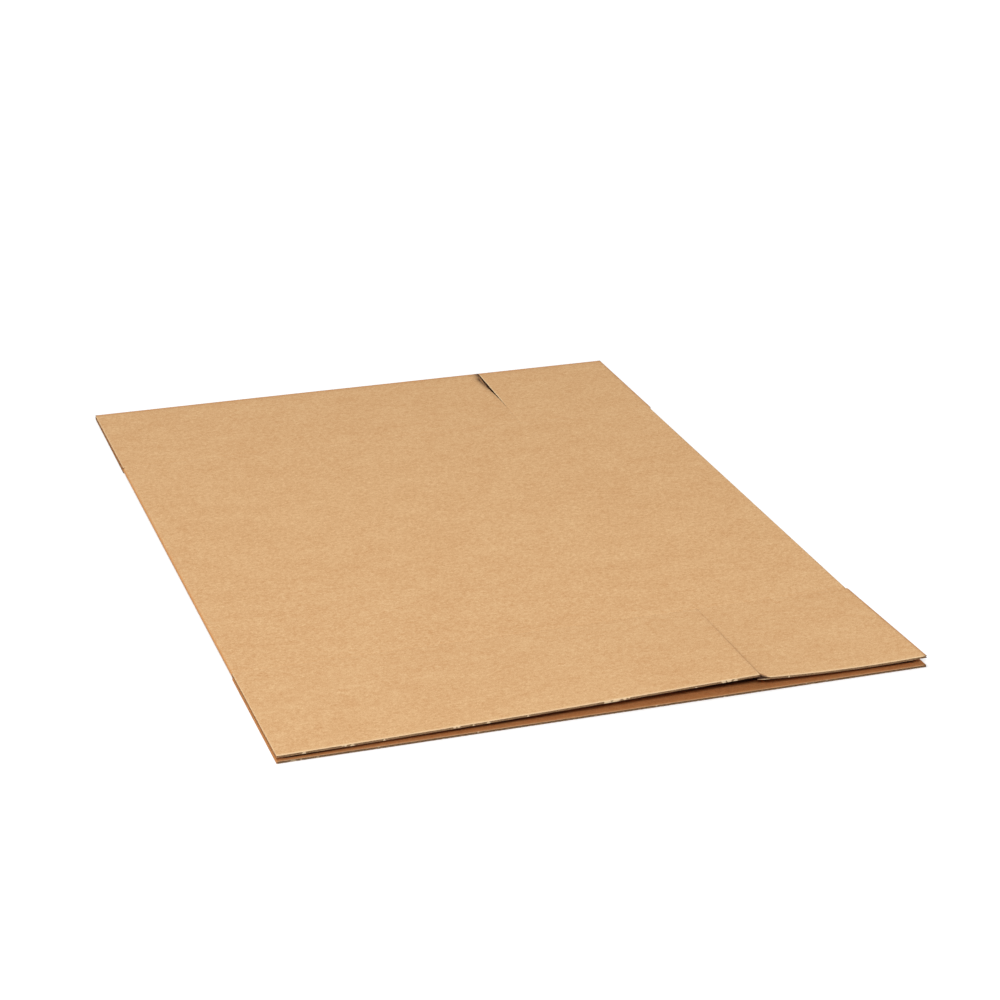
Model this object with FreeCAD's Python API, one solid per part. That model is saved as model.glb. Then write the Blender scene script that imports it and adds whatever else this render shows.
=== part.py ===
import FreeCAD, Part
import os
from collections import namedtuple

# A slotted shipping box, knocked down flat: one sheet of corrugated board that is scored,
# slit, folded twice by half a turn into a flat tube, and glued along one tab.
# The flat box lies on Z = 0. X runs across its panels, Y along its flutes, and the origin
# is under the middle of the flat box. Near means the -Y end and far means the +Y end.
# The lower layer is the upper one turned over, so its panels are the upper ones mirrored in X.

# Panels and flaps
long_panel = 556.0
narrow_panel = 194.0
wall_height = 654.0
flap_length = 210.0

# Corrugated board: two flat liners with a fluted medium between them
board = 3.0
liner = 0.35
medium = 0.25
flute_pitch = 6.4
crushed_margin = 4.0

# Glued joint in the lower layer: a tab pressed thin inside the tube
tab_width = 35.0
tab_thickness = 2.0
tab_end_taper = 12.0
tab_ramp = 4.0
tab_clearance = 0.4
joint_seam = 1.5

# Knife slits between neighbouring flaps
slit = 1.0
near_slit_lean = 10.0
far_slit_opening = 4.0

# Score lines pressed into the inner faces
score_width = 3.0
score_depth = 0.2

# How far the upper flaps at the near end spring up at their free edges
long_lift_at_fold = 1.4
long_lift_at_slit = 13.4
long_flap_sag = 1.2
narrow_lift_at_slit = 9.3
narrow_lift_at_fold = 6.2
narrow_flap_sag = 2.8

# Places that follow from the sizes above
half_width = (long_panel + narrow_panel) / 2
wall_y = wall_height / 2
end_y = wall_y + flap_length
crease = half_width - narrow_panel
upper_z = board + tab_thickness + tab_clearance
fold_radius = (upper_z + board) / 2
fold_x = half_width - fold_radius

# Two points nearer than this are the same point, and a face this near to a plane is flat
touch = 0.001
flatness = 1e-7

# A flap hinges on its score at root_y and is free at tip_y. Each span is its lowest and
# highest x there, and lifts are the heights of the two ends of the tip above its layer.
Flap = namedtuple("Flap", "low_z root_y tip_y root_span tip_span lifts sag")


def mirrored(span, side):
    """A span of x in the upper layer (side 1) or in the lower one (side -1)."""
    return tuple(sorted(side * x for x in span))


def make_flaps():
    """The eight flaps: a long and a narrow one at each end of each layer."""
    flaps = []
    for side, low_z in ((1, upper_z), (-1, 0.0)):
        long_root = (-half_width, crease - slit / 2)
        narrow_root = (crease + slit / 2, half_width)
        near_long = (-half_width, crease - slit / 2 - near_slit_lean)
        near_narrow = (crease + slit / 2 - near_slit_lean, half_width)
        far_narrow = (crease + slit / 2 + far_slit_opening, half_width)
        springs = side > 0
        long_lifts = (long_lift_at_fold, long_lift_at_slit) if springs else (0.0, 0.0)
        narrow_lifts = (narrow_lift_at_slit, narrow_lift_at_fold) if springs else (0.0, 0.0)
        plans = [
            (-1, long_root, near_long, long_lifts, long_flap_sag if springs else 0.0),
            (-1, narrow_root, near_narrow, narrow_lifts, narrow_flap_sag if springs else 0.0),
            (1, long_root, long_root, (0.0, 0.0), 0.0),
            (1, narrow_root, far_narrow, (0.0, 0.0), 0.0),
        ]
        for end, root, tip, lifts, sag in plans:
            spans = mirrored(root, side), mirrored(tip, side)
            flaps.append(Flap(low_z, end * wall_y, end * end_y, *spans, lifts, sag))
    return flaps


def lift_at(flap, x):
    """Height of a flap's tip above its layer: a parabola that sags below the line between its ends."""
    left, right = flap.tip_span
    share = (x - left) / (right - left)
    return flap.lifts[0] * (1 - share) + flap.lifts[1] * share - 4 * flap.sag * share * (1 - share)


def tip_edge(flap, start_x, end_x, height):
    """The top or the bottom edge of a flap's cut tip."""
    start = FreeCAD.Vector(start_x, flap.tip_y, height + lift_at(flap, start_x))
    end = FreeCAD.Vector(end_x, flap.tip_y, height + lift_at(flap, end_x))
    if not flap.sag:
        return Part.makeLine(start, end)
    curve = Part.BezierCurve()
    curve.setPoles([start, (start + end) / 2 - FreeCAD.Vector(0, 0, 2 * flap.sag), end])
    return curve.toShape()


def flap_solid(flap):
    """A flap's board from its score to its tip, before its flutes are opened."""
    left, right = flap.root_span
    low_z = flap.low_z
    high_z = low_z + board
    root = [FreeCAD.Vector(x, flap.root_y, z)
            for x, z in ((left, low_z), (right, low_z), (right, high_z), (left, high_z), (left, low_z))]
    left, right = flap.tip_span
    bottom = tip_edge(flap, left, right, low_z)
    top = tip_edge(flap, right, left, high_z)
    raised = FreeCAD.Vector(0, 0, board)
    low_left = FreeCAD.Vector(left, flap.tip_y, low_z + lift_at(flap, left))
    low_right = FreeCAD.Vector(right, flap.tip_y, low_z + lift_at(flap, right))
    right_side = Part.makeLine(low_right, low_right + raised)
    left_side = Part.makeLine(low_left + raised, low_left)
    tip = Part.Wire([bottom, right_side, top, left_side])
    return Part.makeLoft([Part.makePolygon(root), tip], True, True)


def slot_face(radius):
    """A flat slot across the tube, round at both folds, in the plane of the near flap scores."""
    low = fold_radius - radius
    high = fold_radius + radius

    def point(x, z):
        return FreeCAD.Vector(x, -wall_y, z)

    return Part.Face(Part.Wire([
        Part.makeLine(point(-fold_x, low), point(fold_x, low)),
        Part.Arc(point(fold_x, low), point(fold_x + radius, fold_radius), point(fold_x, high)).toShape(),
        Part.makeLine(point(fold_x, high), point(-fold_x, high)),
        Part.Arc(point(-fold_x, high), point(-fold_x - radius, fold_radius), point(-fold_x, low)).toShape(),
    ]))


def prism(points, direction):
    """A flat outline through the points, extruded."""
    return Part.Face(Part.makePolygon(points + points[:1])).extrude(direction)


def glue_tab():
    """The tab of the lower long panel, pressed thin and glued inside the lower narrow panel."""
    ramp_x = -crease + tab_ramp
    free_x = -crease - tab_width
    free_y = wall_y - tab_end_taper
    tab = prism([FreeCAD.Vector(x, y, board) for x, y in
                 ((ramp_x, -wall_y), (ramp_x, wall_y), (free_x, free_y), (free_x, -free_y))],
                FreeCAD.Vector(0, 0, tab_thickness))
    top_z = board + tab_thickness
    ramp = [FreeCAD.Vector(x, -wall_y, z) for x, z in ((-crease, top_z), (ramp_x, top_z), (ramp_x, board))]
    return tab.cut(prism(ramp, FreeCAD.Vector(0, wall_height, 0)))


def tube():
    """The four wall panels between the two rows of flap scores, folded and glued."""
    along = FreeCAD.Vector(0, wall_height, 0)
    walls = slot_face(fold_radius).extrude(along).cut(slot_face(fold_radius - board).extrude(along))
    seam = Part.makeBox(joint_seam, wall_height, board, FreeCAD.Vector(-crease - joint_seam, -wall_y, 0))
    return walls.cut(seam).fuse(glue_tab())


def score_groove(start, end, inward):
    """A shallow V pressed into a board's inner face along the line from start to end."""
    across = (end - start).cross(FreeCAD.Vector(0, 0, 1)).normalize() * (score_width / 2)
    return prism([start - across, start + across, start + FreeCAD.Vector(0, 0, inward * score_depth)],
                 end - start)


def score_grooves():
    """The flap scores of both layers and the flat score between the two upper panels."""
    grooves = []
    for y in (-wall_y, wall_y):
        for side, inner_z in ((1, upper_z), (-1, board)):
            for span in ((-fold_x, crease - slit), (crease + slit, fold_x)):
                start, end = (FreeCAD.Vector(x, y, inner_z) for x in mirrored(span, side))
                grooves.append(score_groove(start, end, side))
    start, end = (FreeCAD.Vector(crease, y, upper_z) for y in (-wall_y + score_width, wall_y - score_width))
    grooves.append(score_groove(start, end, 1))
    return grooves


def flute_spans():
    """Where flutes stay open in each layer: between the crushed strips at its folds and slits."""
    fold_strip = fold_radius + crushed_margin
    narrow_cut = max(slit / 2 + far_slit_opening, joint_seam)
    long_span = (-half_width + fold_strip, crease - slit / 2 - near_slit_lean - crushed_margin)
    narrow_span = (crease + narrow_cut + crushed_margin, half_width - fold_strip)
    for side, low_z in ((1, upper_z), (-1, 0.0)):
        for span in (long_span, narrow_span):
            yield low_z, mirrored(span, side)


def channel_sections():
    """The open triangles above and below the fluted medium, as lists of (x, height) and their layer."""
    low = liner
    high = board - liner
    wall = medium / ((high - low) / ((high - low) ** 2 + (flute_pitch / 2) ** 2) ** 0.5)
    half_base = flute_pitch / 2 - wall / 2
    apex = (high - low) * (1 - wall / flute_pitch)
    for low_z, (left, right) in flute_spans():
        count = int((right - left) / flute_pitch)
        start = (left + right - count * flute_pitch) / 2
        for index in range(count):
            crest_x = start + (index + 0.5) * flute_pitch
            yield low_z, [(crest_x - half_base, low), (crest_x + half_base, low), (crest_x, low + apex)]
            if index:
                foot_x = start + index * flute_pitch
                yield low_z, [(foot_x + half_base, high), (foot_x - half_base, high), (foot_x, high - apex)]


def channel_stations(low_z, section, flaps):
    """The channel's section at its near tip, at the near scores and at its far tip, as points."""
    middle_x = section[2][0]

    def ring(y, flap):
        return [FreeCAD.Vector(x, y, low_z + z + (lift_at(flap, x) if flap else 0)) for x, z in section]

    def flap_over(tip_y):
        return next(flap for flap in flaps if flap.low_z == low_z and flap.tip_y == tip_y
                    and flap.tip_span[0] < middle_x < flap.tip_span[1])

    near_flap = flap_over(-end_y)
    stations = [ring(-end_y, near_flap), ring(end_y, flap_over(end_y))]
    if any(near_flap.lifts):
        stations.insert(1, ring(-wall_y, None))
    return stations


def is_flat(quad):
    """Whether the quad's last corner lies in the plane of the other three."""
    normal = (quad[1] - quad[0]).cross(quad[2] - quad[0]).normalize()
    return abs(normal.dot(quad[3] - quad[0])) < flatness


def channel_walls(stations):
    """The inner faces of one channel, from each station to the next: flat, or twisted in a sprung flap."""
    faces = []
    for ring, following in zip(stations, stations[1:]):
        for index, start in enumerate(ring):
            after = (index + 1) % len(ring)
            quad = [start, ring[after], following[after], following[index]]
            if is_flat(quad):
                faces.append(Part.Face(Part.makePolygon(quad + quad[:1])))
            else:
                faces.append(Part.makeRuledSurface(Part.makeLine(quad[0], quad[1]),
                                                   Part.makeLine(quad[3], quad[2])).Faces[0])
    return faces


def open_flutes(plain, flaps):
    """The plain solid with each channel open from its near tip to its far tip."""
    channels = [channel_stations(low_z, section, flaps) for low_z, section in channel_sections()]
    mouths = {-end_y: [stations[0] for stations in channels], end_y: [stations[-1] for stations in channels]}
    faces = []
    for face in plain.Faces:
        box = face.BoundBox
        if box.YLength > touch or abs(box.YMin) < end_y - touch:
            faces.append(face)
            continue
        rings = mouths[-end_y if box.YMin < 0 else end_y]
        inside = [ring for ring in rings if face.isInside(ring[2], touch, True)]
        holes = [Part.Face(Part.makePolygon(ring + ring[:1])) for ring in inside]
        faces.extend(face.cut(Part.makeCompound(holes)).Faces)
    for stations in channels:
        faces.extend(channel_walls(stations))
    skin = Part.makeCompound(faces)
    skin.sewShape()
    return Part.Solid(skin.Shells[0])


def make_carton():
    """The whole folded and glued sheet, as one solid."""
    flaps = make_flaps()
    plain = tube().multiFuse([flap_solid(flap) for flap in flaps]).cut(Part.makeCompound(score_grooves()))
    return open_flutes(plain.removeSplitter(), flaps)


os.makedirs("parts", exist_ok=True)
carton = make_carton()
print("carton: %d solid, valid %s, %.0f mm3, %s" % (len(carton.Solids), carton.isValid(), carton.Volume,
                                                    carton.BoundBox))
carton.exportStep("parts/carton.step")
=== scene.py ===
import functools
import math
from collections import namedtuple

import bpy
import numpy as np
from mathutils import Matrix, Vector


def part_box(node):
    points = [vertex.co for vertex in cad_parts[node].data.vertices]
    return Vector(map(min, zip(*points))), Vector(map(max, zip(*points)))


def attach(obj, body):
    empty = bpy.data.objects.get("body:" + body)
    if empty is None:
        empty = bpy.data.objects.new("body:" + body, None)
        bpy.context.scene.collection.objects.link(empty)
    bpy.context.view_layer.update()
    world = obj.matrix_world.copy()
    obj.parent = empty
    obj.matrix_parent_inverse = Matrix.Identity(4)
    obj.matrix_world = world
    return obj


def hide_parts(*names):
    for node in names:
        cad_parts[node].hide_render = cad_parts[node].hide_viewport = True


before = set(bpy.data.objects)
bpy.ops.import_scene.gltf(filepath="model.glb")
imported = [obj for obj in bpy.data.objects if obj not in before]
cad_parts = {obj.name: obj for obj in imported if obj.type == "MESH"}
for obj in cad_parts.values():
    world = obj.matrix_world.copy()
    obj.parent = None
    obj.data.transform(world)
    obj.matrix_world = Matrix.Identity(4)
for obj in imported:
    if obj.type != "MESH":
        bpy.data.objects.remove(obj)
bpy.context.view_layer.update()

# A knocked-down slotted box. The board is made ply by ply: an outer liner, a fluted medium and an
# inner liner. Each is one closed thin sheet, from the glue tab along the lower long panel, round the
# right fold, back over both upper panels, round the left fold and along the lower narrow panel.
# Sizes are in millimetres until a mesh is made.
mm = 0.001

# Panels and flaps: the width and the length come from the frame
high_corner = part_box("carton")[1]
half_width = high_corner.x / mm
end_y = high_corner.y / mm
narrow_panel = 194.0
flap_length = 210.0
wall_y = end_y - flap_length
crease = half_width - narrow_panel

# Board
board = 3.0
liner = 0.35
medium = 0.25
flute_pitch = 6.4
outer_z = 8.4
fold_radius = outer_z / 2
fold_x = half_width - fold_radius
mid_radius = fold_radius - board / 2

# Glue tab inside the lower narrow panel, and the seam beside it
tab_width = 35.0
tab_thickness = 2.0
tab_end_taper = 12.0
tab_bend = 1.5
tab_rise = 3.0
joint_seam = 1.5

# Slits: how far each one's mouth moves aside, how far it has closed, and the open wedge at the far one
slit = 0.5
near_slit_lean = 10.0
far_slit_lean = 5.2
slit_closed = 0.9
wedge_width = 5.2
wedge_length = 126.0

# Spring of the upper near flaps at their cut edges
long_lift_at_fold = 1.4
long_lift_at_slit = 13.4
long_flap_sag = 1.2
narrow_lift_at_slit = 9.3
narrow_lift_at_fold = 6.2
narrow_flap_sag = 2.8
far_lift_at_fold = 2.2
far_lift_at_slit = 0.4

# Form of the board's faces
washboard = 0.03
score_dent = 0.22
score_reach = 2.4
crease_dent = 0.06
swell = 0.35
knife_crush = 0.3
knife_reach = 1.2
pulp_fill = 0.8
pulp_reach = 1.5
ragged = 0.25
medium_recess = 0.4
side_groove = 1.5
fold_steps = 14

# Wear: the crushed edge at the far slit, the torn corner at the near one, and nicks in cut edges
dip_depth = 1.5
dip_width = 8.0
dip_length = 130.0
plug_length = 15.0
plug_fade = 5.0
tear_width = 9.0
tear_length = 14.0
tear_spread = 13.0
tear_hollow = 9.0
lip_rise = 0.7
lip_reach = 6.0
lip_push = 2.5
burr_hang = 2.0
burr_reach = 0.9
burr_length = 9.0
burr_tuft = 2.4
burr_from = 0.86
upper_nicks = ((-4, 4), (6, 15), (135, 140), (142, 147), (150, 156))
low_nick_depth = 0.22
lower_nicks = ((-367, -349), (-315, -310), (-286, -280), (-241, -235), (-154, -148), (-140, -134),
               (-116, -110), (-61, -55), (10, 16), (53, 59))

# How far in from a cut edge its face gets a painted highlight, orange-brown painted shade, painted shade or
# a painted shadow line, and how strongly
near_tip_reach = 3.0
side_reach = 1.3
left_highlight = 0.75
slit_highlight = 0.6
inside_highlight = 0.6
far_shade_reach = 4.4
wedge_shade_reach = 8.0
slit_shadow_line = 0.85
slit_shadow_reach = 0.8
slit_overlap = 3.0
far_shade_line = 0.4
right_shade_line = 0.6
corner_shade_reach = 2.8
# Painted shade on the cut edges in the slits, at the far left and along the lower layer's near edge:
slit_edge_shade = 0.5
left_edge_shade = 0.65
low_edge_shade = 0.45
slit_highlight_length = 70.0

# How deep inside the near mouth the painted shadow on the inner liner starts and is full, for a gap of 1
dark_from = 0.8
dark_to = 1.7
dark_end = 12.0
dark_share = 0.9

# A panel's flaps run between its root edges at the score and its tip edges at the cut, in x. Its
# lifts are how far the two ends of its near and its far cut edge rise. The near one sags between them.
Panel = namedtuple("Panel", "low_layer root near_tip far_tip near_lifts far_lifts sag")
low_side = crease - slit / 2
high_side = crease + slit / 2
panels = {
    "lower_long": Panel(True, (-low_side, half_width), (-low_side + near_slit_lean, half_width),
                        (-low_side - far_slit_lean, half_width), (0.0, 0.0), (0.0, 0.0), 0.0),
    "upper_narrow": Panel(False, (high_side, half_width), (high_side - near_slit_lean, half_width),
                          (high_side + far_slit_lean, half_width),
                          (narrow_lift_at_slit, narrow_lift_at_fold), (0.0, 0.0), narrow_flap_sag),
    "upper_long": Panel(False, (-half_width, low_side), (-half_width, low_side - near_slit_lean),
                        (-half_width, low_side + far_slit_lean),
                        (long_lift_at_fold, long_lift_at_slit), (0.0, 0.0), long_flap_sag),
    "lower_narrow": Panel(True, (-half_width, -crease - joint_seam),
                          (-half_width, -high_side + near_slit_lean),
                          (-half_width, -high_side - far_slit_lean),
                          (0.0, 0.0), (far_lift_at_fold, far_lift_at_slit), 0.0),
}
panel_names = list(panels)


def smooth(share):
    """0 up to a share of 0, 1 from a share of 1, and a smooth step between."""
    share = np.clip(share, 0.0, 1.0)
    return share * share * (3 - 2 * share)


def strongest(*shares):
    """The largest of several arrays, point by point."""
    return functools.reduce(np.maximum, shares)


def noise(places, length, seed):
    """Seeded noise from 0 to 1 along a line, with its bumps about a length apart."""
    reach = 2 * end_y
    values = np.random.default_rng(seed).random(int(4 * reach / length) + 3)
    steps = (np.asarray(places) + reach) / length
    index = np.floor(steps).astype(int)
    return values[index] + (values[index + 1] - values[index]) * smooth(steps - index)


class Blank:
    """The sheet as columns that run along the flutes, each with its folded place in the tube.

    x and z place a column's outer face, nx and nz point from there into the board, deep is the
    board's thickness, and travel is the distance along the sheet. A strip lists neighbouring
    columns: one strip for the walls, and one for each panel's flaps."""

    def __init__(self, spacing):
        self.spacing = spacing
        self.columns = []
        self.strips = {name: [] for name in ("walls", *panels)}
        start = -crease + tab_bend
        travel = self.add_tab(start)
        self.add_edge("lower_long", start, -low_side, travel, before=True)
        travel = self.add_flat("lower_long", start, fold_x, travel)
        self.add_edge("lower_long", fold_x, half_width, travel)
        travel = self.add_fold(1, travel)
        self.add_edge("upper_narrow", fold_x, half_width, travel, before=True)
        travel = self.add_flat("upper_narrow", fold_x, high_side, travel)
        self.add(crease, outer_z, 0.0, -1.0, travel + slit / 2, ("walls",))
        travel = self.add_flat("upper_long", low_side, -fold_x, travel + slit)
        self.add_edge("upper_long", -fold_x, -half_width, travel)
        travel = self.add_fold(-1, travel)
        self.add_edge("lower_narrow", -fold_x, -half_width, travel, before=True)
        self.add_flat("lower_narrow", -fold_x, -crease - joint_seam, travel)
        table = np.array(self.columns)
        self.x, self.z, self.nx, self.nz, self.travel, self.deep, self.panel, self.tab = table.T[..., None]

    def add(self, x, z, nx, nz, travel, strips, deep=board, panel=-1, tab=0.0):
        """One column, in the strips that it belongs to."""
        for strip in strips:
            self.strips[strip].append(len(self.columns))
        self.columns.append((x, z, nx, nz, travel, deep, panel, tab))

    def add_tab(self, end):
        """The tab, from its free edge to where it leaves the plane of the lower long panel."""
        free_x = -crease - tab_width
        count = round((end - free_x) / self.spacing)
        for index in range(count):
            x = free_x + (end - free_x) * index / count
            rise = float(smooth((end - x) / tab_rise))
            deep = board + (tab_thickness - board) * rise
            from_bend = (end - x) / (end - free_x)
            self.add(x, board * rise, 0.0, 1.0, x - free_x, ("walls",), deep, tab=from_bend)
        return end - free_x

    def add_flat(self, name, start, end, travel):
        """The flat of a panel, from one x to another, both of them shared with its flaps."""
        low_layer = panels[name].low_layer
        count = round(abs(end - start) / self.spacing)
        for index in range(count + 1):
            x = start + (end - start) * index / count
            self.add(x, 0.0 if low_layer else outer_z, 0.0, 1.0 if low_layer else -1.0,
                     travel + abs(x - start), ("walls", name), panel=panel_names.index(name))
        return travel + abs(end - start)

    def add_edge(self, name, shared_x, edge_x, travel, before=False):
        """Columns that only a panel's flaps have, between its flat and the flaps' cut side edge."""
        low_layer = panels[name].low_layer
        count = max(1, round(abs(edge_x - shared_x) / self.spacing))
        steps = range(count, 0, -1) if before else range(1, count + 1)
        way = -1 if before else 1
        for step in steps:
            x = shared_x + (edge_x - shared_x) * step / count
            self.add(x, 0.0 if low_layer else outer_z, 0.0, 1.0 if low_layer else -1.0,
                     travel + way * abs(x - shared_x), (name,), panel=panel_names.index(name))

    def add_fold(self, side, travel):
        """The half turn at the right (side 1) or the left fold (side -1), without its two ends."""
        length = math.pi * mid_radius
        for index in range(1, fold_steps):
            turn = math.pi * index / fold_steps
            nx = -side * math.sin(turn)
            nz = side * math.cos(turn)
            self.add(side * fold_x - nx * fold_radius, fold_radius - nz * fold_radius, nx, nz,
                     travel + length * index / fold_steps, ("walls",))
        return travel + length


def row_places(tip_steps, score_steps, flap_gap, wall_gap):
    """Places of the rows in y: close together at the cuts and the scores, and wide apart between."""
    def between(start, end, gap):
        count = max(1, round((end - start) / gap))
        return [start + (end - start) * index / count for index in range(1, count)]

    before = [flap_length - step for step in reversed(score_steps)]
    after = [flap_length + step for step in score_steps]
    half = [*tip_steps, *between(tip_steps[-1], before[0], flap_gap), *before, flap_length, *after,
            *between(after[-1], end_y, wall_gap)]
    near = np.array(half) - end_y
    return np.concatenate([near, [0.0], -near[::-1]])


class Grid:
    """A blank's columns crossed with rows of y: the faces of the board as depths below its outer face."""

    def __init__(self, spacing, rows):
        self.blank = Blank(spacing)
        self.y = rows[None, :]
        self.near_score, self.far_score = (int(np.argmin(np.abs(rows - y))) for y in (-wall_y, wall_y))
        self.shape = (len(self.blank.x), len(rows))
        self.flap_share = np.clip((np.abs(self.y) - wall_y) / flap_length, 0.0, 1.0)
        self.tip_distance = end_y - np.abs(self.y)
        self.side_distance = self.find_side_distance()
        self.cut_distance = np.minimum(self.tip_distance, self.side_distance)
        self.phase = 2 * math.pi * self.blank.travel / flute_pitch

    def of_panel(self, name):
        """Whether each column belongs to a panel, as an array that crosses with the rows."""
        return self.blank.panel == panel_names.index(name)

    def find_side_distance(self):
        """The distance of each point from the cut side of its flap, of its tab or of the seam."""
        blank = self.blank
        distance = np.full(self.shape, end_y)
        in_flap = np.abs(self.y) >= wall_y
        for name, panel in panels.items():
            from_sides = np.minimum(np.abs(blank.x - panel.root[0]), np.abs(blank.x - panel.root[1]))
            distance = np.where(self.of_panel(name) & in_flap, from_sides, distance)
        at_seam = self.of_panel("lower_narrow") & ~in_flap
        distance = np.where(at_seam, np.abs(blank.x + crease + joint_seam), distance)
        return np.where(blank.tab > 0, blank.x + crease + tab_width, distance)

    def slit_distance(self, name, end):
        """Distances across a panel's flap from its slit edge in x, and whether a point is in that flap."""
        panel = panels[name]
        edge = panel.root[1] if abs(panel.root[1]) < abs(panel.root[0]) else panel.root[0]
        return np.abs(self.blank.x - edge), self.of_panel(name) & (end * self.y > wall_y)

    def faces(self):
        """Depths of the board's outer and inner faces, with scores, creases and crushed edges."""
        blank = self.blank
        outer = washboard * (1 - np.cos(self.phase)) / 2
        inner = blank.deep - washboard * (1 + np.cos(self.phase)) / 2
        on_panel = blank.panel >= 0
        from_score = np.abs(np.abs(self.y) - wall_y) / score_reach
        dent = np.where(on_panel, 1 - smooth(from_score), 0.0) * score_dent
        from_crease = np.abs(blank.x - crease) / score_reach
        on_top = (blank.nz < 0) & (np.abs(self.y) < wall_y)
        dent = np.maximum(dent, np.where(on_top, 1 - smooth(from_crease), 0.0) * crease_dent)
        crush = knife_crush * np.exp(-self.cut_distance / knife_reach)
        across, here = self.slit_distance("upper_long", 1)
        dip = dip_depth * (1 - smooth(across / dip_width)) * (1 - smooth(self.tip_distance / dip_length))
        dip = dip * smooth(self.tip_distance / plug_length)
        outer = outer + dent + crush + np.where(here, dip, 0.0)
        inner = inner - dent - crush
        return outer, inner

    def tear(self):
        """From 0 to 1, how far plies are cut back at the narrow flap's torn corner by the near slit."""
        across, here = self.slit_distance("upper_narrow", -1)
        back = np.clip(1 - self.tip_distance / tear_length, 0.0, 1.0)
        return np.where(here, back * np.clip(1 - across / tear_spread, 0.0, 1.0), 0.0)

    def lip(self):
        """From 0 to 1, how far the inner liner curls up at the very corner beside the near slit."""
        across, here = self.slit_distance("upper_narrow", -1)
        return np.where(here, 1 - smooth(np.hypot(across, self.tip_distance) / lip_reach), 0.0)

    def slit_slide(self):
        """How far the long flaps' slit edges move in x: back at the open wedge, forward where it is shut."""
        slide = 0.0
        for name, way in (("upper_long", -1.0), ("lower_long", 1.0)):
            for end in (-1, 1):
                across, here = self.slit_distance(name, end)
                opened = smooth((self.tip_distance - plug_length) / plug_fade)
                opened = opened * (self.tip_distance < wedge_length) * (end > 0)
                back = wedge_width * opened * np.clip(1 - self.tip_distance / wedge_length, 0.0, 1.0)
                shut = slit_closed * slit * (1 - opened)
                near_edge = np.clip(1 - across / (4 * wedge_width), 0.0, 1.0)
                slide = slide + np.where(here, way * (back - shut) * near_edge, 0.0)
        return slide

    def side_fade(self, name, edge, end=0):
        """1 at one side edge of a panel's flaps, 0 or 1 by its number, fading over the side reach."""
        fade = np.exp(-np.abs(self.blank.x - panels[name].root[edge]) / side_reach)
        return fade * self.of_panel(name) * (np.abs(self.y) > wall_y) * (end * self.y >= 0)

    def burr(self, seed):
        """From 0 to 1, how far a liner's cut edge is torn and hangs over the flutes."""
        upper = self.blank.nz < 0
        along = self.blank.x + np.where(upper, 0.0, half_width)
        torn = smooth((noise(along, burr_length, seed) - burr_from) / 0.1)
        for spans, layer in ((upper_nicks, upper), (lower_nicks, low_nick_depth * ~upper)):
            for start, end in spans:
                inside = smooth((self.blank.x - start) / 2 + 0.5) * smooth((end - self.blank.x) / 2 + 0.5)
                torn = np.maximum(torn, inside * layer * (self.y < 0))
        torn = torn * smooth(2 * noise(self.blank.x, burr_tuft, seed + 2) - 0.3)
        return torn * np.exp(-self.tip_distance / burr_reach)

    def painted_highlight(self):
        """From 0 to 1, how strongly a highlight is painted on the face along the near cut edges, the left
        sides, the near slit and beside the far wedge.
        """
        near = np.exp(-self.tip_distance / near_tip_reach) * (self.y < 0)
        left = left_highlight * self.side_fade("upper_long", 0)
        beside_slit = slit_highlight * self.side_fade("upper_long", 1, end=-1)
        beside_slit = beside_slit * (1 - smooth(self.tip_distance / slit_highlight_length))
        beside_wedge = self.side_fade("upper_narrow", 0, end=1) * (self.tip_distance < wedge_length)
        return strongest(near, left, beside_slit, beside_wedge)

    def painted_rim_shade(self):
        """From 0 to 1, how strongly orange-brown shade is painted along the folds, the right sides and the
        far cut edges, where the board turns away from the light.
        """
        far = np.exp(-self.tip_distance / far_shade_reach) * (self.y > 0)
        sides = self.side_fade("upper_narrow", 1) + self.side_fade("lower_long", 1)
        sides = sides + self.side_fade("lower_narrow", 0, end=-1)
        return strongest(far, sides, smooth(2 * np.abs(self.blank.nx) - 1))

    def painted_shade(self):
        """From 0 to 1, how strongly shade is painted on the face beside and below the open far slit, and at
        the corners.
        """
        across, here = self.slit_distance("upper_long", 1)
        beside = np.exp(-across / wedge_shade_reach) * (1 - smooth(self.tip_distance / dip_length)) * here
        from_wedge = np.abs(self.blank.x - high_side - far_slit_lean / 2) / wedge_shade_reach
        below = self.of_panel("lower_long") * (self.y > wall_y) * np.exp(-from_wedge ** 2)
        below = below * (self.tip_distance < wedge_length)
        return strongest(beside, below, self.painted_corner_shade())

    def painted_corner_shade(self):
        """From 0 to 1, how strongly shade is painted on the corners of the flaps, apart from the near left
        ones.
        """
        from_corner = np.hypot(half_width - np.abs(self.blank.x), self.tip_distance)
        return np.exp(-from_corner / corner_shade_reach) * ((self.y > 0) | (self.blank.x > 0))

    def painted_shade_line(self):
        """From 0 to 1, how strongly a brown line of shade is painted along the far cut edge and the right
        side, and a shadow line along the near slit where the higher flap hides the lower one's edge."""
        across, here = self.slit_distance("upper_narrow", -1)
        beyond = np.maximum(across - slit_overlap * self.flap_share, 0.0)
        at_slit = slit_shadow_line * (0.35 + 0.65 * self.flap_share) * np.exp(-beyond / slit_shadow_reach) * here
        at_right = right_shade_line * self.side_fade("upper_narrow", 1)
        at_far_edge = far_shade_line * np.exp(-self.tip_distance / far_shade_reach) * (self.y > 0)
        return strongest(at_slit, at_right, at_far_edge)

    def painted_mouth_shadow(self):
        """From 0 to 1, how strongly shadow is painted on the lower layer's inner face behind the near mouth,
        by its height.
        """
        places = (-half_width, low_side, high_side, half_width)
        gaps = (long_lift_at_fold, long_lift_at_slit, narrow_lift_at_slit, narrow_lift_at_fold)
        gap = np.interp(self.blank.x, places, gaps) + outer_z - 2 * board
        share = (self.tip_distance / gap - dark_from) / (dark_to - dark_from)
        inside = smooth((half_width - np.abs(self.blank.x)) / dark_end)
        return dark_share * smooth(share) * inside * (self.blank.nz > 0) * (self.y < -wall_y)

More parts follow.
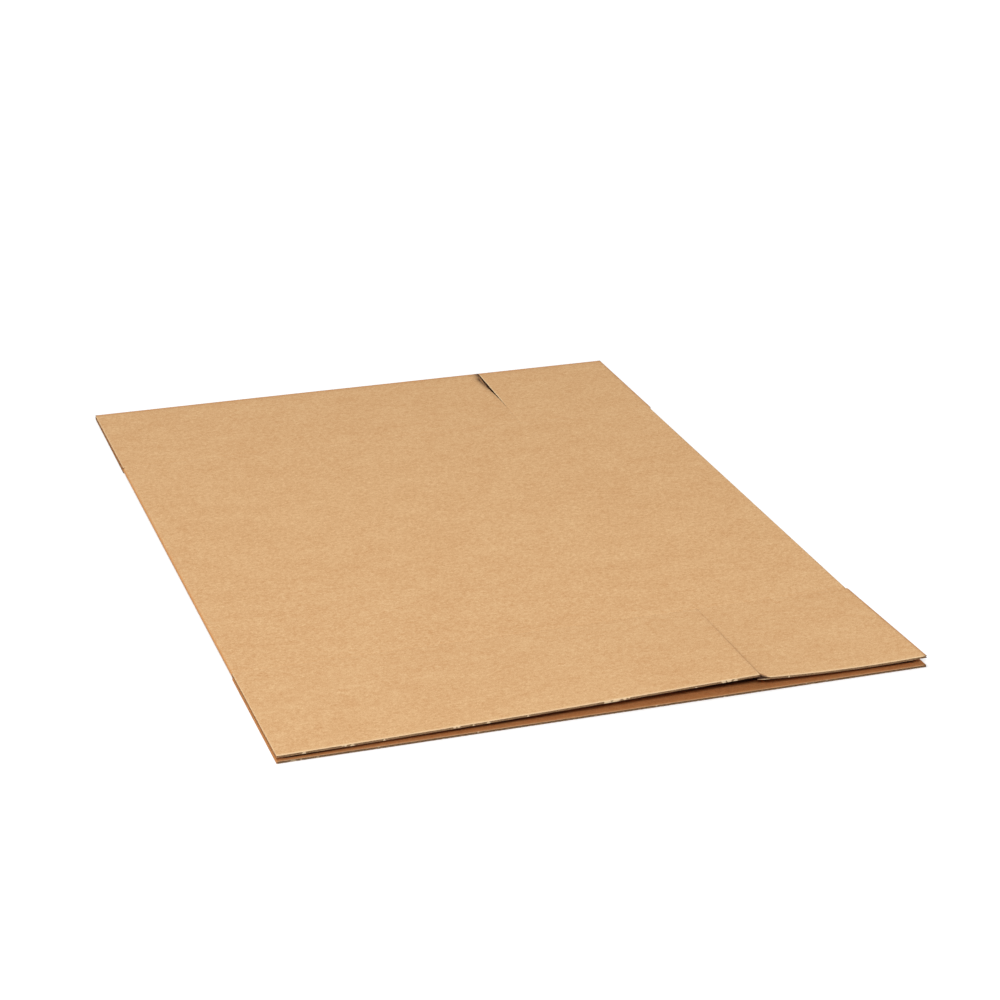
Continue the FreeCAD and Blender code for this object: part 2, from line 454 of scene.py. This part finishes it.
    def painted_torn_shadow(self):
        """From 0 to 1, how strongly shadow is painted on the inner liner inside the torn corner, behind its
        light rim.
        """
        return smooth(3 * self.tear()) * smooth((self.tip_distance - 0.5) / 1.5)

    def painted_cut_edge_shade(self):
        """From 0 to 1, how strongly shade is painted on the cut edges inside the slits, at the corners,
        along the lower layer and at the far end of the left side."""
        wedge_sides = self.side_fade("upper_long", 1, end=1) + self.side_fade("upper_narrow", 0, end=1)
        slit_sides = self.side_fade("upper_long", 1, end=-1) + self.side_fade("upper_narrow", 0, end=-1)
        left_sides = self.side_fade("upper_long", 0, end=1) + self.side_fade("lower_narrow", 0, end=1)
        inside = wedge_sides * (1 - smooth(self.tip_distance / wedge_length - 0.5))
        low_edge = np.exp(-self.tip_distance / near_tip_reach) * (self.blank.nz > 0) * (self.y < 0)
        return strongest(inside, slit_edge_shade * slit_sides, left_edge_shade * left_sides,
                         low_edge_shade * low_edge, self.painted_corner_shade())

    def frayed_corner(self):
        """From 0 to 1, how far the outer liner's edge is frayed at the torn corner."""
        return self.side_fade("upper_narrow", 0, end=-1) * (1 - smooth(self.tip_distance / tear_length))

    def places(self, depth, slide=0.0, recess=0.0):
        """Points at a depth below the outer face, slid in x and cut back from the tips."""
        blank = self.blank
        x = blank.x + blank.nx * depth
        z = blank.z + blank.nz * depth
        y = self.y - np.sign(self.y) * recess * np.exp(-self.tip_distance / knife_reach)
        y = y * (1 - blank.tab * tab_end_taper / wall_y)
        for name, panel in panels.items():
            mine = self.of_panel(name)
            for end, tip in ((-1, panel.near_tip), (1, panel.far_tip)):
                here = mine & (end * self.y > wall_y)
                across = (blank.x - panel.root[0]) / (panel.root[1] - panel.root[0])
                tip_x = tip[0] + across * (tip[1] - tip[0])
                x = np.where(here, blank.x + (tip_x - blank.x) * self.flap_share, x)
                lifts = panel.near_lifts if end < 0 else panel.far_lifts
                sag = panel.sag if end < 0 else 0.0
                lift = lifts[0] * (1 - across) + lifts[1] * across - 4 * sag * across * (1 - across)
                z = np.where(here, z + lift * self.flap_share, z)
        x = x + slide
        z = z + np.where(blank.nz < 0, self.swelling(x), 0.0)
        return np.stack([x, y, z], axis=2)

    def swelling(self, x):
        """The slight rise and fall of the upper layer between its folds."""
        across = 1 - (x / half_width) ** 2
        long_waves = np.sin(x / 97.0 + self.y / 211.0)
        short_waves = np.sin(x / 61.0 - self.y / 143.0 + 2.0)
        waves = 0.5 + 0.3 * long_waves + 0.2 * short_waves
        return swell * across * waves * (1 - self.flap_share * (self.y < 0))

    def quads(self):
        """Corners of the faces of one side of a sheet, as numbers of grid points."""
        columns, rows = self.shape
        parts = []
        zones = [("walls", self.near_score, self.far_score)]
        for name in panels:
            zones += [(name, 0, self.near_score), (name, self.far_score, rows - 1)]
        for name, first, last in zones:
            strip = np.array(self.blank.strips[name])
            row = np.arange(first, last)
            left = strip[:-1, None] * rows + row[None, :]
            right = strip[1:, None] * rows + row[None, :]
            parts.append(np.stack([left, right, right + 1, left + 1], axis=2).reshape(-1, 4))
        return np.concatenate(parts)


def closed_sheet(name, grid, outer_points, inner_points, attributes, materials):
    """A closed thin mesh between two sides of one grid. Faces of its cut edges take the second material."""
    count = grid.shape[0] * grid.shape[1]
    quads = grid.quads()
    directed = np.stack([quads, np.roll(quads, -1, axis=1)], axis=2).reshape(-1, 2)
    forward = directed[:, 0].astype(np.int64) * count + directed[:, 1]
    backward = directed[:, 1].astype(np.int64) * count + directed[:, 0]
    rim = directed[~np.isin(forward, backward)]
    sides = np.stack([rim[:, 1], rim[:, 0], rim[:, 0] + count, rim[:, 1] + count], axis=1)
    faces = np.concatenate([quads, quads[:, ::-1] + count, sides])
    used, numbers = np.unique(faces, return_inverse=True)
    points = np.concatenate([inner_points.reshape(-1, 3), outer_points.reshape(-1, 3)])[used] * mm
    mesh = bpy.data.meshes.new(name)
    mesh.vertices.add(len(used))
    mesh.vertices.foreach_set("co", points.astype(np.float32).ravel())
    mesh.loops.add(faces.size)
    mesh.loops.foreach_set("vertex_index", numbers.astype(np.int32).ravel())
    mesh.polygons.add(len(faces))
    mesh.polygons.foreach_set("loop_start", np.arange(0, faces.size, 4, dtype=np.int32))
    mesh.update(calc_edges=True)
    for label, values in attributes.items():
        layer = mesh.attributes.new(label, "FLOAT", "POINT")
        values = np.broadcast_to(values, grid.shape).ravel()
        layer.data.foreach_set("value", np.concatenate([values, values])[used].astype(np.float32))
    for material in materials:
        mesh.materials.append(material)
    slots = np.zeros(len(faces), np.int32)
    slots[2 * len(quads):] = 1
    mesh.polygons.foreach_set("material_index", slots)
    mesh.polygons.foreach_set("use_smooth", np.ones(len(faces), bool))
    mesh.set_sharp_from_angle(angle=math.radians(50))
    mesh.validate()
    piece = bpy.data.objects.new(name, mesh)
    bpy.context.scene.collection.objects.link(piece)
    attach(piece, "root")
    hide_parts("carton")
    return piece


fine_rows = row_places((0.0, 0.4, 1.2, 3.0, 7.0, 14.0, 25.0), (1.0, 2.4, 5.0), 45.0, 46.0)
coarse_rows = row_places((0.0, 1.0, 2.5, 6.0), (1.2, 3.0), 70.0, 165.0)


def make_liner(name, inside, seed, materials):
    """The outer liner, or the inner one."""
    grid = Grid(flute_pitch / 4, fine_rows)
    outer, inner = grid.faces()
    frayed = grid.burr(seed)
    hang = burr_hang * frayed
    painted_highlight = grid.painted_highlight()
    # Painted shade beside and below the far wedge and at the corners.
    painted_shade = grid.painted_shade()
    slide = grid.slit_slide()
    recess = ragged * noise(grid.blank.x + grid.blank.nz * half_width, 3.1, seed + 7)
    if inside:
        top = inner - liner - lip_rise * grid.lip() - hang
        bottom = inner - lip_rise * grid.lip()
        slide = slide - lip_push * grid.lip()
        # The inner liner's near edge gets a weaker painted highlight.
        painted_highlight = inside_highlight * painted_highlight
        light_rim = smooth(3 * grid.tear()) * np.exp(-grid.tip_distance / burr_reach)
        frayed = strongest(frayed, light_rim)
        # Painted shadow inside the torn corner and deep in the near mouth darkens the inner liner.
        painted_shade = strongest(painted_shade, grid.painted_torn_shadow(), grid.painted_mouth_shadow())
    else:
        top = outer
        bottom = outer + liner + hang
        slide = slide + tear_width * grid.tear()
        frayed = strongest(frayed, grid.frayed_corner())
    # Painted highlight, painted shade and painted shadow lines travel as attributes beside the torn fibre.
    attributes = {"painted_highlight": painted_highlight, "painted_rim_shade": grid.painted_rim_shade(), "frayed": frayed, "painted_shade_line": grid.painted_shade_line(),
                  "painted_shade": painted_shade, "painted_cut_edge_shade": grid.painted_cut_edge_shade()}
    return closed_sheet(name, grid, grid.places(top, slide, recess), grid.places(bottom, slide, recess),
                        attributes, materials)


def make_medium(name, materials):
    """The fluted medium: a smooth wave between the two liners."""
    grid = Grid(flute_pitch / 8, coarse_rows)
    outer, inner = grid.faces()
    low = outer + liner
    high = inner - liner
    pulp = pulp_fill * np.exp(-grid.tip_distance / pulp_reach)
    reach = (high - low - medium) / 2 * (1 - pulp)
    middle = (low + high) / 2 - reach * np.cos(grid.phase)
    slope = reach * np.sin(grid.phase) * 2 * math.pi / flute_pitch
    half = medium / 2 * np.sqrt(1 + slope ** 2) + pulp * (high - low - medium) / 2
    recess = medium_recess + ragged * noise(grid.blank.x + grid.blank.nz * half_width, 1.7, 31)
    recess = recess + tear_hollow * grid.tear()
    groove = side_groove * (grid.side_fade("upper_long", 0) - grid.side_fade("upper_narrow", 1))
    slide = grid.slit_slide() + tear_width * grid.tear() + groove
    # Orange-brown painted shade and painted shade on the medium's cut edges.
    attributes = {"painted_rim_shade": grid.painted_rim_shade(), "painted_cut_edge_shade": grid.painted_cut_edge_shade()}
    return closed_sheet(name, grid, grid.places(middle - half, slide, recess),
                        grid.places(middle + half, slide, recess), attributes, materials)


class Shader:
    """A node material, built up from small steps."""

    def __init__(self, name):
        self.material = bpy.data.materials.new(name)
        self.material.use_nodes = True
        self.nodes = self.material.node_tree.nodes
        self.links = self.material.node_tree.links
        self.surface = self.nodes["Principled BSDF"]
        self.place = self.nodes.new("ShaderNodeTexCoord").outputs["Object"]

    def link(self, value, socket):
        """Sets a socket, or links an output to it."""
        if isinstance(value, bpy.types.NodeSocket):
            self.links.new(value, socket)
        else:
            socket.default_value = value

    def stretched(self, scale):
        """The place in metres, times a scale along each axis."""
        node = self.nodes.new("ShaderNodeMapping")
        self.link(self.place, node.inputs["Vector"])
        node.inputs["Scale"].default_value = scale
        return node.outputs["Vector"]

    def noise(self, scale, detail=4.0, roughness=0.55):
        """Noise from 0 to 1, with a scale along each axis."""
        node = self.nodes.new("ShaderNodeTexNoise")
        self.link(self.stretched(scale), node.inputs["Vector"])
        node.inputs["Scale"].default_value = 1.0
        node.inputs["Detail"].default_value = detail
        node.inputs["Roughness"].default_value = roughness
        return node.outputs["Fac"]

    def math(self, operation, first, second=0.0, third=0.0):
        """One step of arithmetic."""
        node = self.nodes.new("ShaderNodeMath")
        node.operation = operation
        for value, socket in zip((first, second, third), node.inputs):
            self.link(value, socket)
        return node.outputs[0]

    def ramp(self, value, low, high):
        """The value taken from the span low to high onto 0 to 1, smoothly and clamped."""
        return self.spread(value, low, high, "SMOOTHSTEP")

    def spread(self, value, low, high, steps="LINEAR"):
        """The value taken from the span low to high onto 0 to 1, evenly and clamped."""
        node = self.nodes.new("ShaderNodeMapRange")
        node.interpolation_type = steps
        self.link(value, node.inputs["Value"])
        node.inputs["From Min"].default_value = low
        node.inputs["From Max"].default_value = high
        return node.outputs["Result"]

    def mix(self, share, first, second):
        """A mix of two colours by a share."""
        node = self.nodes.new("ShaderNodeMix")
        node.data_type = "RGBA"
        self.link(share, node.inputs[0])
        self.link(first, node.inputs[6])
        self.link(second, node.inputs[7])
        return node.outputs[2]

    def attribute(self, name):
        """A value stored with the mesh's points."""
        node = self.nodes.new("ShaderNodeAttribute")
        node.attribute_name = name
        return node.outputs["Fac"]

    def bump(self, height, strength, distance):
        """Bumps of a height over the surface."""
        node = self.nodes.new("ShaderNodeBump")
        node.inputs["Strength"].default_value = strength
        node.inputs["Distance"].default_value = distance
        self.link(height, node.inputs["Height"])
        self.link(node.outputs["Normal"], self.surface.inputs["Normal"])


def screen_colour(red, green, blue):
    """A colour as a screen shows it, 0 to 255, as the light values that a shader takes."""
    light = []
    for level in (red, green, blue):
        share = level / 255
        light.append(share / 12.92 if share <= 0.04045 else ((share + 0.055) / 1.055) ** 2.4)
    return (*light, 1.0)


kraft_tones = (screen_colour(203, 146, 92), screen_colour(240, 202, 152))
# The inner liner's kraft is redder than the outer one and also darkened, which paints part of the shade
# inside the near mouth.
inner_tones = (screen_colour(192, 122, 66), screen_colour(224, 164, 106))
# The next colour is a painted highlight for lit cut edges.
highlight_cream = screen_colour(246, 214, 168)
# The next colour is orange-brown painted shade where folds and edges turn away from the light.
rim_shade_orange = screen_colour(230, 164, 102)
fresh_fibre = screen_colour(240, 212, 172)
# The cut edge and medium colours are darker than the board's own kraft: partly the cut pulp's own tone,
# partly painted shade of the cut edges.
edge_kraft = screen_colour(158, 124, 92)
medium_kraft = screen_colour(146, 111, 80)
# The next colour is a painted shadow line and painted shade line.
shade_line_brown = screen_colour(136, 78, 42)
# The next colour is painted shade: the far wedge, the corners, the torn corner and the near mouth are
# darkened with it.
painted_shade_brown = screen_colour(66, 42, 28)


def shade(colour, step):
    """A colour, lighter or darker by the same step on a screen in each of its channels."""
    lightness = [channel ** (1 / 2.2) + step for channel in colour[:3]]
    return (*(max(channel, 0.0) ** 2.2 for channel in lightness), 1.0)


def make_liner_material(name, tones):
    """Unbleached kraft liner: cloudy pulp and fine specks, with painted highlights, painted shade and
    painted shadow lines from the mesh's attributes.
    """
    shader = Shader(name)
    clouds = shader.noise((22.0, 40.0, 40.0), detail=3.0)
    mottle = shader.noise((160.0, 260.0, 260.0), detail=3.0, roughness=0.6)
    grain = shader.noise((600.0, 760.0, 760.0), detail=2.0, roughness=0.7)
    fibres = shader.noise((160.0, 1300.0, 800.0), detail=2.0)
    tone = shader.math("MULTIPLY", clouds, 0.2)
    tone = shader.math("MULTIPLY_ADD", mottle, 0.5, tone)
    tone = shader.math("MULTIPLY_ADD", grain, 1.0, tone)
    tone = shader.math("MULTIPLY_ADD", fibres, 0.15, tone)
    colour = shader.mix(shader.spread(tone, 0.64, 1.21), *tones)
    # Painted highlight along the lit cut edges and beside the slits.
    colour = shader.mix(shader.ramp(shader.attribute("painted_highlight"), 0.15, 1.0), colour, highlight_cream)
    # Orange-brown painted shade along the folds, the right sides and the far cut edges.
    colour = shader.mix(shader.ramp(shader.attribute("painted_rim_shade"), 0.1, 0.9), colour, rim_shade_orange)
    colour = shader.mix(shader.ramp(shader.attribute("frayed"), 0.08, 0.45), colour, fresh_fibre)
    # Painted shadow line beside the near slit, and painted shade lines along the far and right edges.
    colour = shader.mix(shader.attribute("painted_shade_line"), colour, shade_line_brown)
    # Painted shade beside and below the far wedge, at the corners, in the torn corner and deep in the near
    # mouth.
    colour = shader.mix(shader.ramp(shader.attribute("painted_shade"), 0.05, 1.0), colour, painted_shade_brown)
    shader.link(colour, shader.surface.inputs["Base Color"])
    shader.surface.inputs["Roughness"].default_value = 0.82
    shader.surface.inputs["Specular IOR Level"].default_value = 0.25
    shader.bump(shader.math("ADD", grain, fibres), 0.12, 0.0001)
    return shader.material


def make_fibre_material(name, base, light_share):
    """Torn pulp of a cut edge or of the fluted medium: rough, with light fibre ends, and with orange-brown
    and dark painted shade.
    """
    shader = Shader(name)
    grain = shader.noise((700.0, 700.0, 700.0), detail=3.0, roughness=0.7)
    tufts = shader.noise((260.0, 260.0, 500.0), detail=4.0, roughness=0.7)
    colour = shader.mix(shader.ramp(grain, 0.3, 0.7), shade(base, -0.12), shade(base, 0.08))
    fibre_ends = shader.math("MULTIPLY", shader.ramp(tufts, 0.6, 0.75), light_share)
    colour = shader.mix(fibre_ends, colour, fresh_fibre)
    colour = shader.mix(shader.ramp(shader.attribute("frayed"), 0.08, 0.45), colour, fresh_fibre)
    # Orange-brown painted shade along the folds, the right sides and the far cut edges.
    colour = shader.mix(shader.attribute("painted_rim_shade"), colour, rim_shade_orange)
    # Painted shade on the cut edges in the slits, at the corners, along the lower layer and at the far left.
    colour = shader.mix(shader.attribute("painted_cut_edge_shade"), colour, painted_shade_brown)
    shader.link(colour, shader.surface.inputs["Base Color"])
    shader.surface.inputs["Roughness"].default_value = 0.95
    shader.surface.inputs["Specular IOR Level"].default_value = 0.1
    shader.bump(grain, 0.4, 0.0002)
    return shader.material


liner_face = make_liner_material("kraft_liner", kraft_tones)
inner_face = make_liner_material("kraft_inner_liner", inner_tones)
cut_edge = make_fibre_material("kraft_cut_edge", edge_kraft, 0.5)
flute_paper = make_fibre_material("fluting_paper", medium_kraft, 0.25)

make_liner("outer_liner", False, 41, (liner_face, cut_edge))
make_medium("fluted_medium", (flute_paper, cut_edge))
make_liner("inner_liner", True, 59, (inner_face, cut_edge))


def make_floor():
    """A plain pale floor. To the camera it is white, apart from the box's shadow."""
    size = 16.0
    mesh = bpy.data.meshes.new("floor")
    corners = [(-size, -size, 0.0), (size, -size, 0.0), (size, size, 0.0), (-size, size, 0.0)]
    mesh.from_pydata(corners, [], [(0, 1, 2, 3)])
    floor = bpy.data.objects.new("floor", mesh)
    bpy.context.scene.collection.objects.link(floor)
    material = bpy.data.materials.new("pale_floor")
    material.use_nodes = True
    nodes = material.node_tree.nodes
    links = material.node_tree.links
    surface = nodes["Principled BSDF"]
    surface.inputs["Base Color"].default_value = (0.62, 0.62, 0.62, 1.0)
    surface.inputs["Roughness"].default_value = 1.0
    surface.inputs["Specular IOR Level"].default_value = 0.0
    rays = nodes.new("ShaderNodeLightPath")
    place = nodes.new("ShaderNodeTexCoord")
    away = nodes.new("ShaderNodeVectorMath")
    away.operation = "LENGTH"
    links.new(place.outputs["Object"], away.inputs[0])
    level = nodes.new("ShaderNodeMapRange")
    level.interpolation_type = "SMOOTHSTEP"
    links.new(away.outputs["Value"], level.inputs["Value"])
    level.inputs["From Min"].default_value = 0.6
    level.inputs["From Max"].default_value = 1.8
    level.inputs["To Min"].default_value = 0.5
    level.inputs["To Max"].default_value = 0.9
    glow = nodes.new("ShaderNodeMath")
    glow.operation = "MULTIPLY"
    links.new(rays.outputs["Is Camera Ray"], glow.inputs[0])
    links.new(level.outputs["Result"], glow.inputs[1])
    surface.inputs["Emission Color"].default_value = (1.0, 1.0, 1.0, 1.0)
    links.new(glow.outputs[0], surface.inputs["Emission Strength"])
    mesh.materials.append(material)


def make_light():
    """Soft light from all round, strongest from the upper left, and a soft lamp from above and in front."""
    key_direction = Vector((-0.6, -0.25, 0.8)).normalized()
    world = bpy.data.worlds.new("studio")
    bpy.context.scene.world = world
    world.use_nodes = True
    nodes = world.node_tree.nodes
    links = world.node_tree.links
    sky = nodes["Background"]
    sky.inputs["Color"].default_value = (1.0, 1.0, 1.0, 1.0)
    place = nodes.new("ShaderNodeTexCoord")
    facing = nodes.new("ShaderNodeVectorMath")
    facing.operation = "DOT_PRODUCT"
    links.new(place.outputs["Generated"], facing.inputs[0])
    facing.inputs[1].default_value = key_direction
    light = nodes.new("ShaderNodeMapRange")
    links.new(facing.outputs["Value"], light.inputs["Value"])
    light.inputs["To Min"].default_value = 0.2
    light.inputs["To Max"].default_value = 0.49
    rays = nodes.new("ShaderNodeLightPath")
    level = nodes.new("ShaderNodeMix")
    links.new(rays.outputs["Is Camera Ray"], level.inputs[0])
    links.new(light.outputs["Result"], level.inputs[2])
    level.inputs[3].default_value = 1.0
    links.new(level.outputs[0], sky.inputs["Strength"])
    add_softbox("high_softbox", (-0.7, -0.2, 4.0), 1.6, 65.0)
    add_softbox("front_softbox", (-1.9, -5.0, 3.6), 1.0, 166.0)


def add_softbox(name, place, size, power):
    """One square lamp that faces the box."""
    lamp = bpy.data.lights.new(name, "AREA")
    lamp.size = size
    lamp.energy = power
    softbox = bpy.data.objects.new(name, lamp)
    softbox.location = place
    softbox.rotation_euler = (-softbox.location).to_track_quat("-Z", "Y").to_euler()
    bpy.context.scene.collection.objects.link(softbox)


def make_camera():
    """The photograph's view: from the front left, looking down on the near end."""
    data = bpy.data.cameras.new("camera")
    data.lens = 96.1
    data.sensor_width = 36.0
    camera = bpy.data.objects.new("camera", data)
    camera.location = (-0.9194, -2.9647, 1.3127)
    tilt_down = math.radians(22.267)
    turn_right = math.radians(18.023)
    camera.rotation_euler = (math.pi / 2 - tilt_down, 0.0, -turn_right)
    bpy.context.scene.collection.objects.link(camera)
    bpy.context.scene.camera = camera


make_floor()
make_light()
make_camera()
bpy.context.scene.view_settings.view_transform = "Standard"
